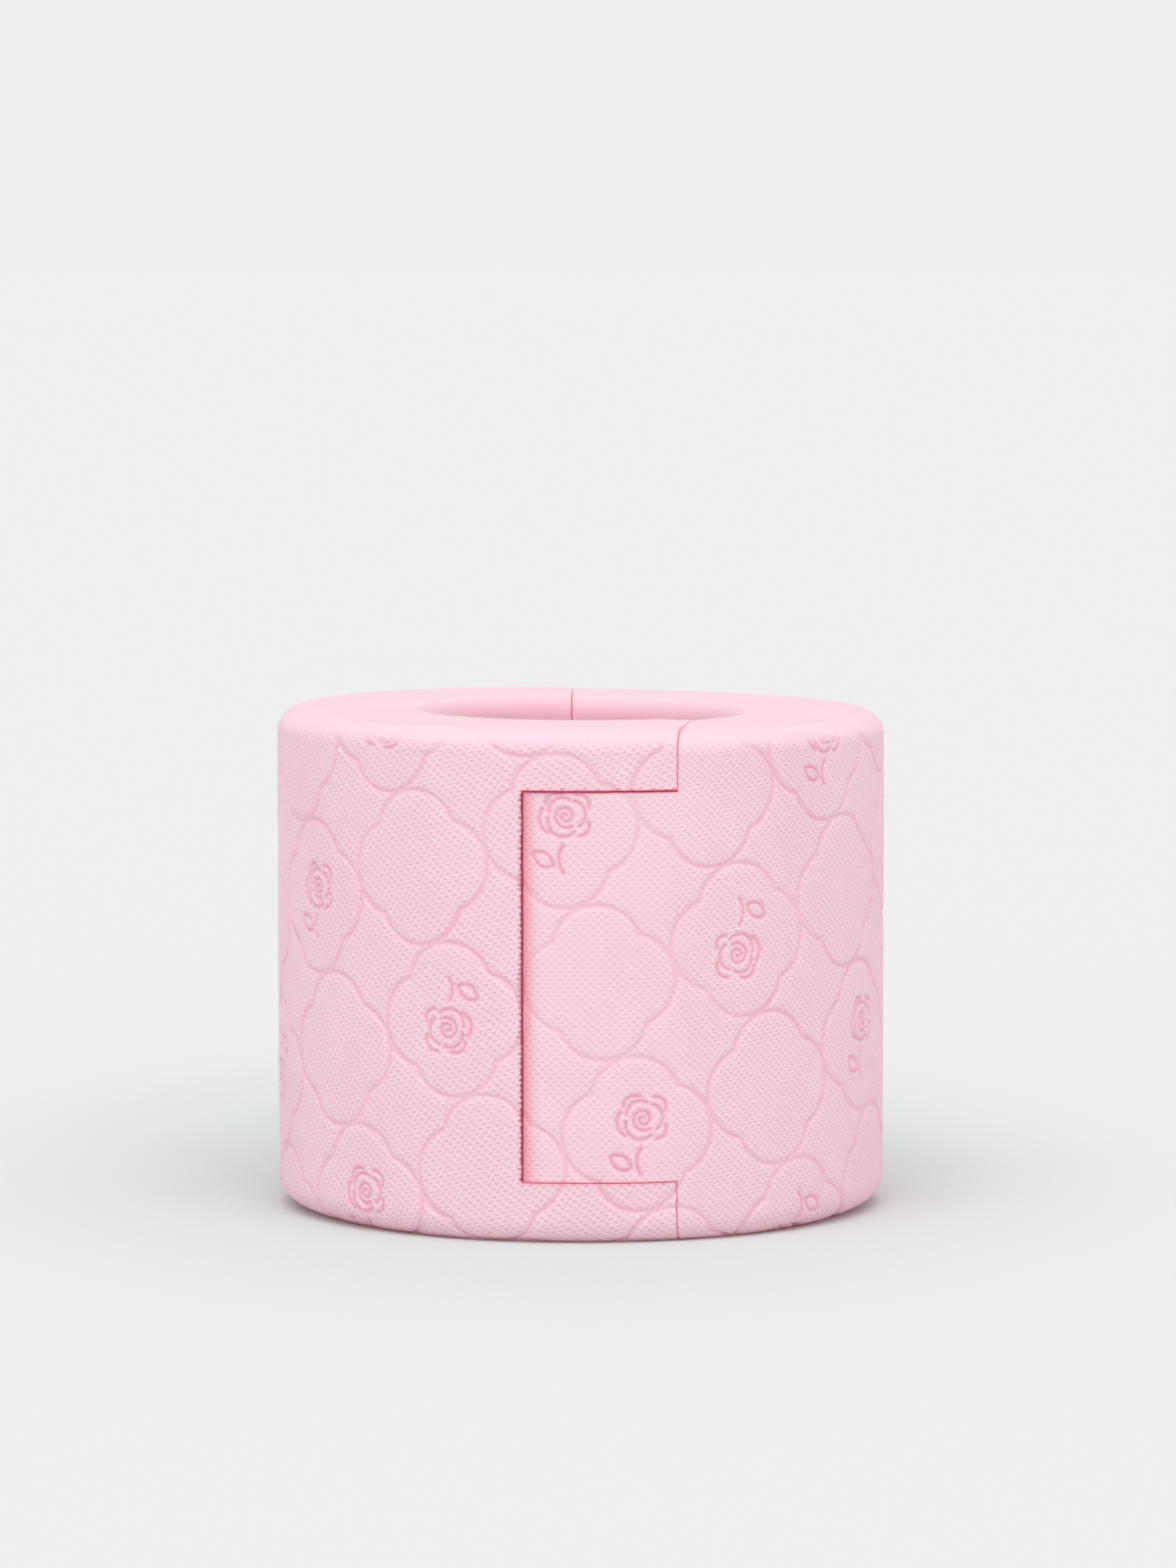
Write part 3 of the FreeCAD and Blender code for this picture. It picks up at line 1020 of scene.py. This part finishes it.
class PULLBUOY_OT_hinge_web(Operator):
    """Make the web of the facing that joins the halves at the back"""

    bl_idname = "pull_buoy.hinge_web"
    bl_label = "Hinge web"

    def execute(self, context):
        shape = context.scene.pull_buoy_shape
        materials = foam_materials()
        inner = RADIUS - WEB_DEPTH
        main = joined(
            upright(RADIUS, run(WALL_LOW, WALL_HIGH, shape.mesh_step)),
            level(np.array((RADIUS, inner)), WALL_HIGH),
            upright(inner, run(WALL_HIGH, WALL_LOW, 4 * MM)),
            level(np.array((inner, RADIUS)), WALL_LOW),
        )
        bm = bmesh.new()
        start = plane_at(WEB_END_X, behind=True)
        end = plane_at(-WEB_END_X, behind=True)
        sweep(
            bm, main, start, lambda r: end(r) + 2 * math.pi, shape.mesh_step, False, False
        )
        mesh = closed_mesh(bm, "hinge_web_strip")
        co = vertex_array(mesh)
        x, y, z = co.T.copy()
        crease = np.exp(-((x / CREASE_WIDTH) ** 2)) * (y > RADIUS - 1 * MM)
        co[:, 1] -= CREASE_DEPTH * crease
        right_share = smooth(-WEB_END_X, WEB_END_X, x)
        co[:, 2] += top_swell(x, y, z, shape) - right_share * top_drop(y, z, shape)
        put_vertices(mesh, co)
        keep_values(mesh, "rolled_out", np.column_stack((-co[:, 0], co[:, 2])))
        keep_values(mesh, "pressed", np.zeros(len(co)))
        keep_values(mesh, "embossed", np.ones(len(co)))
        piece = finish_piece(mesh, materials["left"], materials["plain"], materials["cut"])
        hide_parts("hinge_web")
        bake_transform(piece)
        return {"FINISHED"}


# Camera of the photograph: the picture's width is a quarter less than its height
CAMERA_DISTANCE = 22.0
CAMERA_RISE = 3.1825
CAMERA_PITCH = 0.0816
CAMERA_SIDE = math.radians(-3.5)
CAMERA_AIM = math.radians(0.0613)
CAMERA_LENS = 153.5

# Studio light: an even dome, a pale backdrop and two soft suns, each with its
# strength and the way it shines
DOME_STRENGTH = 0.72
BACKDROP = (0.863, 0.863, 0.863, 1)
SUN_SOFTNESS = math.radians(50)
SUNS = (("key", 1.08, (0.05, 0.42, -0.906)), ("front", 0.3, (0.03, 0.927, -0.375)))

# The floor's painted shadow, a deeper pool round the buoy: how it is moved and drawn out,
# and where it starts to fade and ends
SHADOW_POOL_SHIFT = (0.012, -0.046, 0)
SHADOW_POOL_SCALE = (1, 0.6, 0)
SHADOW_POOL_FADE = (0.06, 0.21)


def sun_light(name, strength, towards):
    light = bpy.data.lights.new(name, "SUN")
    light.energy = strength
    light.angle = SUN_SOFTNESS
    lamp = bpy.data.objects.new(name, light)
    bpy.context.scene.collection.objects.link(lamp)
    lamp.rotation_euler = Vector(towards).to_track_quat("-Z", "Y").to_euler()


def world_light():
    """Even dome light, with the pale backdrop where the camera sees past the floor."""
    world = bpy.data.worlds.new("Studio")
    bpy.context.scene.world = world
    world.use_nodes = True
    tree = world.node_tree
    dome = tree.nodes["Background"]
    dome.inputs["Color"].default_value = (1, 1, 1, 1)
    dome.inputs["Strength"].default_value = DOME_STRENGTH
    seen = node(tree, "ShaderNodeBackground", {}, Color=BACKDROP, Strength=1.0)
    path = tree.nodes.new("ShaderNodeLightPath")
    straight = math_node(
        tree, "MAXIMUM", path.outputs["Is Camera Ray"], path.outputs["Is Glossy Ray"]
    )
    shown = math_node(tree, "MAXIMUM", straight, path.outputs["Is Transmission Ray"])
    mixed = node(
        tree, "ShaderNodeMixShader", {}, i0=shown, i1=dome.outputs[0], i2=seen.outputs[0]
    )
    tree.links.new(mixed.outputs[0], tree.nodes["World Output"].inputs["Surface"])


def floor_material(colours):
    """A pale floor with a painted shadow: a little deeper, and a little cyan against the pink
    light the buoy throws back, in a wide soft pool round the buoy.
    """
    material = bpy.data.materials.new("Studio floor")
    material.use_nodes = True
    tree = material.node_tree
    shader = tree.nodes["Principled BSDF"]
    place = tree.nodes.new("ShaderNodeTexCoord").outputs["Object"]
    pool = node(
        tree, "ShaderNodeMapping", {}, Vector=place,
        Location=SHADOW_POOL_SHIFT, Scale=SHADOW_POOL_SCALE,
    )
    out = node(
        tree, "ShaderNodeVectorMath", {"operation": "LENGTH"}, i0=pool.outputs["Vector"]
    )
    share = node(
        tree, "ShaderNodeMapRange", {"interpolation_type": "SMOOTHSTEP"},
        Value=out.outputs["Value"], From_Min=SHADOW_POOL_FADE[0], From_Max=SHADOW_POOL_FADE[1],
    )
    # Painted shadow: the floor's colour deepens towards the pool's middle
    colour = node(
        tree, "ShaderNodeMix", {"data_type": "RGBA"}, i0=share.outputs["Result"],
        i6=(*colours.floor_painted_shadow, 1), i7=(*colours.floor, 1),
    )
    tree.links.new(colour.outputs[2], shader.inputs["Base Color"])
    shader.inputs["Roughness"].default_value = 1.0
    shader.inputs["Specular IOR Level"].default_value = 0.0
    return material


class PULLBUOY_OT_stage(Operator):
    """Set up the floor, the soft studio light and the photograph's camera"""

    bl_idname = "pull_buoy.stage"
    bl_label = "Stage"

    def execute(self, context):
        scene = context.scene
        colours = scene.pull_buoy_colours
        scene.view_settings.view_transform = "Standard"
        bm = bmesh.new()
        bmesh.ops.create_grid(bm, x_segments=4, y_segments=4, size=60)
        mesh = bpy.data.meshes.new("floor")
        bm.to_mesh(mesh)
        bm.free()
        floor = bpy.data.objects.new("floor", mesh)
        scene.collection.objects.link(floor)
        mesh.materials.append(floor_material(colours))

        world_light()
        for name, strength, towards in SUNS:
            sun_light(name, strength, towards)

        camera = bpy.data.cameras.new("camera")
        camera.lens = CAMERA_LENS
        camera.sensor_width = 36.0
        camera.clip_end = 200
        eye = bpy.data.objects.new("camera", camera)
        scene.collection.objects.link(eye)
        distance = CAMERA_DISTANCE * RADIUS
        eye.location = (
            distance * math.sin(CAMERA_SIDE), -distance * math.cos(CAMERA_SIDE),
            CAMERA_RISE * RADIUS,
        )
        eye.rotation_euler = (math.pi / 2 - CAMERA_PITCH, 0, CAMERA_SIDE - CAMERA_AIM)
        scene.camera = eye
        return {"FINISHED"}


class PULLBUOY_PT_panel(Panel):
    bl_idname = "PULLBUOY_PT_panel"
    bl_label = "Pull Buoy"
    bl_space_type = "VIEW_3D"
    bl_region_type = "UI"
    bl_category = "Pull Buoy"

    def draw(self, context):
        for group in (context.scene.pull_buoy_shape, context.scene.pull_buoy_colours):
            column = self.layout.column()
            for name in group.__annotations__:
                column.prop(group, name)
        for operator in OPERATORS:
            self.layout.operator(operator.bl_idname)


OPERATORS = (
    PULLBUOY_OT_foam_halves,
    PULLBUOY_OT_facings,
    PULLBUOY_OT_hinge_web,
    PULLBUOY_OT_stage,
)
CLASSES = (PullBuoyShape, PullBuoyColours, *OPERATORS, PULLBUOY_PT_panel)


def register():
    for cls in CLASSES:
        bpy.utils.register_class(cls)
    bpy.types.Scene.pull_buoy_shape = PointerProperty(type=PullBuoyShape)
    bpy.types.Scene.pull_buoy_colours = PointerProperty(type=PullBuoyColours)


def unregister():
    del bpy.types.Scene.pull_buoy_colours
    del bpy.types.Scene.pull_buoy_shape
    for cls in reversed(CLASSES):
        bpy.utils.unregister_class(cls)


def main():
    register()
    bpy.ops.pull_buoy.foam_halves()
    bpy.ops.pull_buoy.facings()
    bpy.ops.pull_buoy.hinge_web()
    bpy.ops.pull_buoy.stage()
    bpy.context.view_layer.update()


if __name__ == "__main__":
    main()
